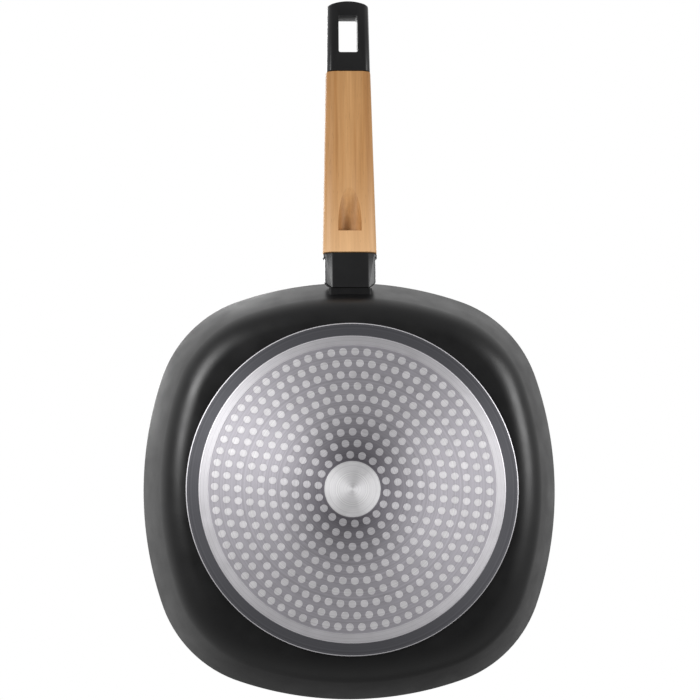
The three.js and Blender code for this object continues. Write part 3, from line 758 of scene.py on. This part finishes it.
class GRILLPAN_OT_casting(bpy.types.Operator):
    """Models the cast body with its foot, turned faces, ribs and handle boss"""

    bl_idname = "grill_pan.casting"
    bl_label = "Cast Body"

    def execute(self, context):
        scene = context.scene
        body, colours = scene.grill_pan_body, scene.grill_pan_colours
        bm = spin_casting(body, scene.grill_pan_plate)
        add_ribs(bm, body)
        add_boss(bm, body, scene.grill_pan_handle)
        write_turned_uv(bm)
        materials = [
            sprayed_coating("baked_coating", colours.coating, grain_mm=0.9, smoothest=0.32, roughest=0.42),
            turned_metal(
                "painted_turned_step", colours.painted_ring, line_mm=1.2, roughness=0.58, anisotropy=0.78,
                metallic=0.7),
            turned_metal("turned_aluminium", colours.aluminium, line_mm=0.9, roughness=0.58, anisotropy=0.65),
            sprayed_coating("non_stick_coating", colours.coating, grain_mm=0.7, smoothest=0.3, roughest=0.4),
            turned_metal("faced_aluminium", colours.centre, line_mm=0.7, roughness=0.58, anisotropy=0.45),
        ]
        new_piece("pan_casting", bm, materials, "pan_body")
        return {"FINISHED"}


def stud_places(plate):
    """Centres of the studs, ring by ring."""
    for ring in range(plate.first_ring, plate.last_ring + 1):
        count = ring * plate.studs_per_ring
        for i in range(count):
            angle = plate.start_angle + 2 * math.pi * i / count
            yield Vector((ring * plate.stud_pitch * math.cos(angle), ring * plate.stud_pitch * math.sin(angle), 0))


class GRILLPAN_OT_plate(bpy.types.Operator):
    """Models the perforated steel plate"""

    bl_idname = "grill_pan.plate"
    bl_label = "Induction Plate"

    def execute(self, context):
        plate, colours = context.scene.grill_pan_plate, context.scene.grill_pan_colours
        bm = bmesh.new()
        face_height = Matrix.Translation((0, 0, plate.setback))
        bmesh.ops.create_circle(bm, segments=BODY_STEPS, radius=plate.radius, matrix=face_height)
        bmesh.ops.create_circle(bm, segments=BODY_STEPS // 2, radius=plate.eye_radius, matrix=face_height)
        for place in stud_places(plate):
            bmesh.ops.create_circle(
                bm, segments=STUD_SIDES, radius=plate.stud_radius, matrix=face_height @ Matrix.Translation(place))
        bmesh.ops.triangle_fill(bm, edges=bm.edges, use_beauty=True, normal=(0, 0, -1))
        bmesh.ops.solidify(bm, geom=bm.faces, thickness=plate.thickness - plate.setback)
        write_turned_uv(bm)
        # The steel is painted darker round the centre boss: painted shade
        steel = turned_metal(
            "turned_induction_steel", colours.steel, line_mm=1.4, roughness=0.6, anisotropy=0.65,
            centre=colours.steel_painted_shade)
        new_piece("perforated_plate", bm, [steel], "induction_plate")
        return {"FINISHED"}


class GRILLPAN_OT_studs(bpy.types.Operator):
    """Models the aluminium studs that fill the plate's holes"""

    bl_idname = "grill_pan.studs"
    bl_label = "Plate Studs"

    def execute(self, context):
        plate, colours = context.scene.grill_pan_plate, context.scene.grill_pan_colours
        middle = Matrix.Translation((0, 0, plate.thickness / 2))
        bm = cylinder(STUD_SIDES, plate.stud_radius - plate.stud_joint, plate.thickness, middle)
        face_edges = [e for e in bm.edges if max(v.co.z for v in e.verts) < MERGE_DISTANCE]
        rounded_edges(bm, face_edges, plate.stud_bevel, 1)
        first = bm.verts[:] + bm.edges[:] + bm.faces[:]
        for place in stud_places(plate):
            copy = bmesh.ops.duplicate(bm, geom=first)["geom"]
            bmesh.ops.translate(bm, verts=[v for v in copy if isinstance(v, bmesh.types.BMVert)], vec=place)
        bmesh.ops.delete(bm, geom=[v for v in first if isinstance(v, bmesh.types.BMVert)], context="VERTS")
        write_turned_uv(bm)
        # The studs are painted darker round the centre boss: painted shade
        faced = turned_metal(
            "faced_studs", colours.studs, line_mm=0.7, roughness=0.58, anisotropy=0.5, centre=colours.studs_painted_shade)
        new_piece("plate_studs", bm, [faced])
        return {"FINISHED"}


class GRILLPAN_OT_ferrule(bpy.types.Operator):
    """Models the phenolic neck and its flush flange between pan and grip, with the screw's hole"""

    bl_idname = "grill_pan.ferrule"
    bl_label = "Ferrule"

    def execute(self, context):
        scene = context.scene
        body, handle = scene.grill_pan_body, scene.grill_pan_handle
        neck_size = (handle.neck_width, handle.neck_thickness)
        flange_size = (handle.flange_width, handle.neck_thickness)
        flange_end = handle.neck_length + handle.flange_length
        neck = handle_block(handle, neck_size, neck_size, -handle.neck_thickness, flange_end)
        upright = Matrix.Rotation(-handle.tilt, 3, "X")
        slice_off(neck, upright @ Vector((0, handle.fit_gap, 0)), upright @ Vector((0, 1, 0)))
        flare = math.tan(body.wall_flare) * Plan(body).lengthening
        clear = Vector((0, handle.wall_clearance - handle.boss_reach, 0))
        slice_off(neck, upright @ clear, upright @ Vector((0, 1, -flare)).normalized())
        for side in (-1, 1):
            corner = Vector((side * (handle.neck_width / 2 - handle.neck_corner_across), handle.fit_gap, 0))
            inward = Vector((-side * handle.neck_corner_along, handle.neck_corner_across, 0))
            slice_off(neck, upright @ corner, upright @ inward.normalized())
        rounded_edges(neck, sharp_edges(neck), handle.neck_rounding, EDGE_STEPS)
        across = handle.chamfer_across + (handle.flange_width - handle.neck_width) / 2
        down = handle.chamfer_down * across / handle.chamfer_across
        flange = chamfered_block(
            flange_size, flange_size, handle.neck_length, flange_end, across, down, handle.side_lean)
        rounded_edges(flange, sharp_edges(flange), handle.neck_rounding, EDGE_STEPS)
        sleeve = screw_bar(handle, handle.insert_hole, -handle.insert_reach, 0)
        bm = carved(neck, (flange, "UNION"), (sleeve, "DIFFERENCE"))
        bmesh.ops.transform(bm, matrix=handle_place(scene), verts=bm.verts)
        black = scene.grill_pan_colours.phenolic
        phenolic = moulded_phenolic("moulded_phenolic", black, smoothest=0.28, roughest=0.38)
        new_piece("handle_ferrule", bm, [phenolic], "ferrule")
        return {"FINISHED"}


class GRILLPAN_OT_grip(bpy.types.Operator):
    """Models the wooden grip with its screw pocket and the screw's bore"""

    bl_idname = "grill_pan.grip"
    bl_label = "Wooden Grip"

    def execute(self, context):
        scene = context.scene
        handle, colours = scene.grill_pan_handle, scene.grill_pan_colours
        start = grip_start(handle)
        front = (handle.grip_front_width, handle.grip_front_thickness)
        rear = (handle.grip_rear_width, handle.grip_rear_thickness)
        wood = handle_block(handle, front, rear, start, start + handle.grip_length)
        long_edges = [e for e in sharp_edges(wood) if e.calc_length() > handle.grip_length / 2]
        rounded_edges(wood, long_edges, handle.grip_rounding, EDGE_STEPS)
        rounded_edges(wood, sharp_edges(wood), handle.edge_softness, SOFT_STEPS)
        edge, drop = pocket_edge_place(handle)
        depth = handle.pocket_depth
        radius = ((handle.pocket_width / 2) ** 2 + depth ** 2) / (2 * depth)
        pocket = round_bar(radius, -depth, depth / math.tan(handle.pocket_angle) + radius)
        place = Matrix.Translation((0, edge, -drop)) @ Matrix.Rotation(-handle.pocket_angle, 4, "X")
        bmesh.ops.transform(pocket, matrix=place @ Matrix.Translation((0, 0, depth - radius)), verts=pocket.verts)
        slice_off(pocket, (0, edge, 0), (0, 1, 0))
        bore = screw_bar(handle, handle.bore_radius, -handle.bore_depth, handle.bore_mouth)
        hole = screw_bar(handle, handle.shank_hole, -handle.insert_reach, 0)
        for face in (*pocket.faces, *bore.faces, *hole.faces):
            face.material_index = ROUTED
        bm = carved(wood, (pocket, "DIFFERENCE"), (bore, "DIFFERENCE"), (hole, "DIFFERENCE"))
        bmesh.ops.transform(bm, matrix=handle_place(scene), verts=bm.verts)
        front_end = Matrix.Rotation(-handle.tilt, 3, "X") @ (handle_place(scene) @ Vector((0, start, 0)))
        wood_tones = (colours.wood_light, colours.wood_dark, handle.tilt)
        # The sanded grip is painted paler towards the ferrule as painted light; its routed faces are left without
        # it
        sanded = oiled_beech("oiled_beech", *wood_tones, painted_light=colours.wood_painted_light, front=front_end.y)
        routed_without_painted_light = oiled_beech("routed_beech", *wood_tones)
        new_piece("handle_grip", bm, [sanded, routed_without_painted_light], "wooden_grip")
        return {"FINISHED"}


class GRILLPAN_OT_end_cap(bpy.types.Operator):
    """Models the phenolic end cap with its hanging hole"""

    bl_idname = "grill_pan.end_cap"
    bl_label = "End Cap"

    def execute(self, context):
        scene = context.scene
        handle = scene.grill_pan_handle
        start = cap_start(handle)
        end = start + handle.cap_length
        front = (handle.cap_front_width, handle.cap_front_thickness)
        rear = (handle.cap_rear_width, handle.cap_rear_thickness)
        block = chamfered_block(front, rear, start, end, handle.cap_chamfer, handle.cap_chamfer, handle.side_lean)
        long_edges = [e for e in sharp_edges(block) if e.calc_length() > handle.cap_length / 2]
        rounded_edges(block, long_edges, handle.cap_rounding, EDGE_STEPS)
        end_middle = Matrix.Translation((0, end - handle.cap_end_radius, 0))
        outline = cylinder(END_SIDES, handle.cap_end_radius, 2 * handle.cap_front_thickness, end_middle)
        hole = bmesh.new()
        middle = end - handle.hole_edge - handle.hole_length / 2
        size = Matrix.Diagonal((handle.hole_width, handle.hole_length, 2 * handle.cap_front_thickness, 1))
        bmesh.ops.create_cube(hole, size=1, matrix=Matrix.Translation((0, middle, 0)) @ size)
        upright = [e for e in hole.edges if abs(e.verts[0].co.z - e.verts[1].co.z) > handle.cap_front_thickness]
        rounded_edges(hole, upright, handle.hole_rounding, 2 * EDGE_STEPS)
        for face in hole.faces:
            face.material_index = BLASTED
        bm = carved(block, (outline, "INTERSECT"), (hole, "DIFFERENCE"))
        rounded_edges(bm, sharp_edges(bm), handle.edge_softness, SOFT_STEPS)
        bmesh.ops.transform(bm, matrix=handle_place(scene), verts=bm.verts)
        black = scene.grill_pan_colours.phenolic
        dull = moulded_phenolic("cored_phenolic", black, smoothest=0.48, roughest=0.6)
        finishes = [bpy.data.materials["moulded_phenolic"], dull]
        new_piece("handle_end_cap", bm, finishes, "end_cap")
        return {"FINISHED"}


class GRILLPAN_OT_hardware(bpy.types.Operator):
    """Finishes the screws, washers and thread inserts inside the handle"""

    bl_idname = "grill_pan.hardware"
    bl_label = "Screws and Inserts"

    def execute(self, context):
        colours = context.scene.grill_pan_colours
        zinc = small_metal("zinc_plated_steel", colours.zinc, stain_mm=1.5, smoothest=0.28, roughest=0.42)
        brass = small_metal("turned_brass", colours.brass, stain_mm=1.5, smoothest=0.25, roughest=0.38)
        finishes = {"zinc_steel": zinc, "brass": brass}
        for subpart in frame["record"]["subparts"]:
            if subpart["material_slot"] in finishes:
                mesh = frame["nodes"][subpart["node"]].data
                mesh.materials.clear()
                mesh.materials.append(finishes[subpart["material_slot"]])
        return {"FINISHED"}


# Studio lamps, all turned to one point: place, width and height in metres, power in watts
LAMP_AIM = Vector((0, 0.05, 0.02))
LAMPS = {
    "base_left_box": ((0.40, 0.22, -0.36), 0.3, 0.2, 1.95),
    "base_right_box": ((-0.50, 0.17, -0.26), 0.32, 0.24, 1.65),
    "top_box": ((0.25, 0.3, 1.45), 0.8, 0.8, 9.0),
}


def soft_box(name, place, width, height, watts):
    """A rectangular studio lamp that doesn't show itself to the camera."""
    lamp = bpy.data.lights.new(name, "AREA")
    lamp.shape = "RECTANGLE"
    lamp.size, lamp.size_y = width, height
    lamp.energy = watts
    box = new_object(name, lamp)
    box.location = place
    box.rotation_euler = (LAMP_AIM - Vector(place)).to_track_quat("-Z", "Y").to_euler()
    box.visible_camera = False


# Backdrop: how its brightness rises with direction and its level, and the flag's middle, edge and shades
BACKDROP_RISE = (0.25, 0.5, 0.0)
BACKDROP_LEVEL = 0.74
FLAG_MIDDLE = (0.0, -0.67, 0.74)
FLAG_EDGE = {"From Min": 0.86, "From Max": 0.98}
FLAG_SHADES = {"To Min": 1.0, "To Max": 0.45}

# Brightness of the room and of the light on dull surfaces, and the heights between which room and backdrop meet
ROOM_LIGHT = {"To Min": 0.085, "To Max": 0.55}
DULL_LIGHT = {"To Min": 0.3, "To Max": 0.6}
HORIZON = {"From Min": -0.2, "From Max": 0.3}


def studio_world(scene):
    """White all round for the camera. Reflections see that white behind the pan, with a dark flag on the side away
    from the handle, and a dim room in front of its base."""
    scene.world = bpy.data.worlds.new("studio")
    scene.world.use_nodes = True
    tree = scene.world.node_tree
    tree.nodes.clear()
    direction = add_node(tree, "ShaderNodeTexCoord").outputs["Generated"]
    height = add_node(tree, "ShaderNodeSeparateXYZ", {0: direction}).outputs["Z"]
    slope = add_node(tree, "ShaderNodeVectorMath", {0: direction, 1: BACKDROP_RISE}, operation="DOT_PRODUCT")
    sweep = add_node(tree, "ShaderNodeMath", {
        0: slope.outputs["Value"], 1: BACKDROP_LEVEL}, operation="ADD", use_clamp=True)
    towards = add_node(tree, "ShaderNodeVectorMath", {0: direction, 1: FLAG_MIDDLE}, operation="DOT_PRODUCT")
    flag = add_node(tree, "ShaderNodeMapRange", {"Value": towards.outputs["Value"], **FLAG_EDGE, **FLAG_SHADES})
    backdrop = add_node(tree, "ShaderNodeMath", {0: sweep.outputs[0], 1: flag.outputs[0]}, operation="MULTIPLY")
    aside = add_node(tree, "ShaderNodeMath", {0: height, 1: 1.0}, operation="ADD", use_clamp=True)
    spread = add_node(tree, "ShaderNodeMath", {0: aside.outputs[0], 1: 0.5}, operation="POWER")
    room = add_node(tree, "ShaderNodeMapRange", {"Value": spread.outputs[0], **ROOM_LIGHT})
    behind = add_node(tree, "ShaderNodeMapRange", {"Value": height, **HORIZON}, interpolation_type="SMOOTHSTEP")
    mirrored = add_node(tree, "ShaderNodeMapRange", {
        "Value": behind.outputs[0], "To Min": room.outputs[0], "To Max": backdrop.outputs[0]})
    ambient = add_node(tree, "ShaderNodeMapRange", {"Value": behind.outputs[0], **DULL_LIGHT})
    path = add_node(tree, "ShaderNodeLightPath")
    shiny = add_node(tree, "ShaderNodeMapRange", {
        "Value": path.outputs["Is Glossy Ray"], "To Min": ambient.outputs[0], "To Max": mirrored.outputs[0]})
    seen = add_node(tree, "ShaderNodeMath", {
        0: path.outputs["Is Camera Ray"], 1: path.outputs["Is Transmission Ray"]}, operation="MAXIMUM")
    strength = add_node(tree, "ShaderNodeMapRange", {
        "Value": seen.outputs[0], "To Min": shiny.outputs[0], "To Max": 1.0})
    background = add_node(tree, "ShaderNodeBackground", {
        "Color": (1.0, 1.0, 1.0, 1.0), "Strength": strength.outputs[0]})
    add_node(tree, "ShaderNodeOutputWorld", {"Surface": background.outputs[0]})


# Floor: radius and where it fades out in metres, grit in mm, and the grit's shades as shares of the colour
FLOOR_RADIUS = 2.2
FLOOR_FADE = {"From Min": 0.5, "From Max": 2.0, "To Min": 1.0, "To Max": 0.0}
GRIT = 3
GRIT_SHADES = {"To Min": 0.97, "To Max": 1.03}


def pale_floor(base):
    """Painted studio floor that fades into the background. It shows only to a camera above it, so that the base
    can be looked at from below and be lit through it."""
    material, tree, place = new_material("pale_floor")
    distance = add_node(tree, "ShaderNodeVectorMath", {0: place}, operation="LENGTH").outputs["Value"]
    fade = add_node(tree, "ShaderNodeMapRange", {"Value": distance, **FLOOR_FADE}, interpolation_type="SMOOTHSTEP")
    grit = add_node(tree, "ShaderNodeTexNoise", {"Vector": place, "Scale": per(GRIT), "Detail": 2.0})
    shade = add_node(tree, "ShaderNodeMapRange", {"Value": grit.outputs[0], **GRIT_SHADES})
    tone = add_node(tree, "ShaderNodeVectorMath", {0: base[:3], "Scale": shade.outputs[0]}, operation="SCALE")
    seen = add_node(tree, "ShaderNodeLightPath").outputs["Is Camera Ray"]
    under = add_node(tree, "ShaderNodeNewGeometry").outputs["Backfacing"]
    above = add_node(tree, "ShaderNodeMath", {0: seen, 1: under}, operation="SUBTRACT", use_clamp=True)
    solid = add_node(tree, "ShaderNodeMath", {0: above.outputs[0], 1: fade.outputs[0]}, operation="MULTIPLY")
    clear = add_node(tree, "ShaderNodeBsdfTransparent")
    matt = add_node(tree, "ShaderNodeBsdfDiffuse", {"Color": tone.outputs[0]})
    both = add_node(tree, "ShaderNodeMixShader", {
        0: solid.outputs[0], 1: clear.outputs[0], 2: matt.outputs[0]})
    add_node(tree, "ShaderNodeOutputMaterial", {"Surface": both.outputs[0]})
    return material


# Camera: under the base, with the handle's end at the top of the picture
CAMERA_PLACE = Vector((105.2, -48.1, -2400)) * MM
CAMERA_AIM = Vector((0.5, 94, 20)) * MM
CAMERA_ROLL = math.radians(-0.21)
CAMERA_LENS = 185.4
CAMERA_CLIP = 0.1, 20


class GRILLPAN_OT_stage(bpy.types.Operator):
    """Sets up the floor, the studio light and the camera"""

    bl_idname = "grill_pan.stage"
    bl_label = "Stage"

    def execute(self, context):
        scene = context.scene
        scene.view_settings.view_transform = "Standard"
        studio_world(scene)
        bm = bmesh.new()
        bmesh.ops.create_circle(bm, cap_ends=True, segments=FLOOR_SIDES, radius=FLOOR_RADIUS)
        mesh = mesh_of(bm, "floor")
        mesh.materials.append(pale_floor(scene.grill_pan_colours.floor))
        floor = new_object("floor", mesh)
        for name, lamp in LAMPS.items():
            soft_box(name, *lamp)
        camera = bpy.data.cameras.new("camera")
        camera.lens = CAMERA_LENS
        camera.clip_start, camera.clip_end = CAMERA_CLIP
        forward = (CAMERA_AIM - CAMERA_PLACE).normalized()
        up = Vector((math.sin(CAMERA_ROLL), math.cos(CAMERA_ROLL), 0))
        right = forward.cross(up).normalized()
        turned = Matrix((right, right.cross(forward), -forward)).transposed().to_4x4()
        scene.camera = new_object("camera", camera)
        scene.camera.matrix_world = Matrix.Translation(CAMERA_PLACE) @ turned
        return {"FINISHED"}


class GRILLPAN_PT_sidebar(bpy.types.Panel):
    bl_idname = "GRILLPAN_PT_sidebar"
    bl_label = "Grill Pan"
    bl_space_type = "VIEW_3D"
    bl_region_type = "UI"
    bl_category = "Grill Pan"

    def draw(self, context):
        for operator in OPERATORS:
            self.layout.operator(operator.bl_idname)


SETTINGS = {
    "grill_pan_body": GrillPanBody,
    "grill_pan_plate": GrillPanPlate,
    "grill_pan_handle": GrillPanHandle,
    "grill_pan_colours": GrillPanColours,
}
OPERATORS = (
    GRILLPAN_OT_casting,
    GRILLPAN_OT_plate,
    GRILLPAN_OT_studs,
    GRILLPAN_OT_ferrule,
    GRILLPAN_OT_grip,
    GRILLPAN_OT_end_cap,
    GRILLPAN_OT_hardware,
    GRILLPAN_OT_stage,
)


def register():
    for cls in (*SETTINGS.values(), *OPERATORS, GRILLPAN_PT_sidebar):
        bpy.utils.register_class(cls)
    for name, cls in SETTINGS.items():
        setattr(bpy.types.Scene, name, bpy.props.PointerProperty(type=cls))


def unregister():
    for name in SETTINGS:
        delattr(bpy.types.Scene, name)
    for cls in (GRILLPAN_PT_sidebar, *reversed(OPERATORS), *SETTINGS.values()):
        bpy.utils.unregister_class(cls)


def main():
    register()
    bpy.ops.grill_pan.casting()
    bpy.ops.grill_pan.plate()
    bpy.ops.grill_pan.studs()
    bpy.ops.grill_pan.ferrule()
    bpy.ops.grill_pan.grip()
    bpy.ops.grill_pan.end_cap()
    bpy.ops.grill_pan.hardware()
    bpy.ops.grill_pan.stage()


if __name__ == "__main__":
    main()
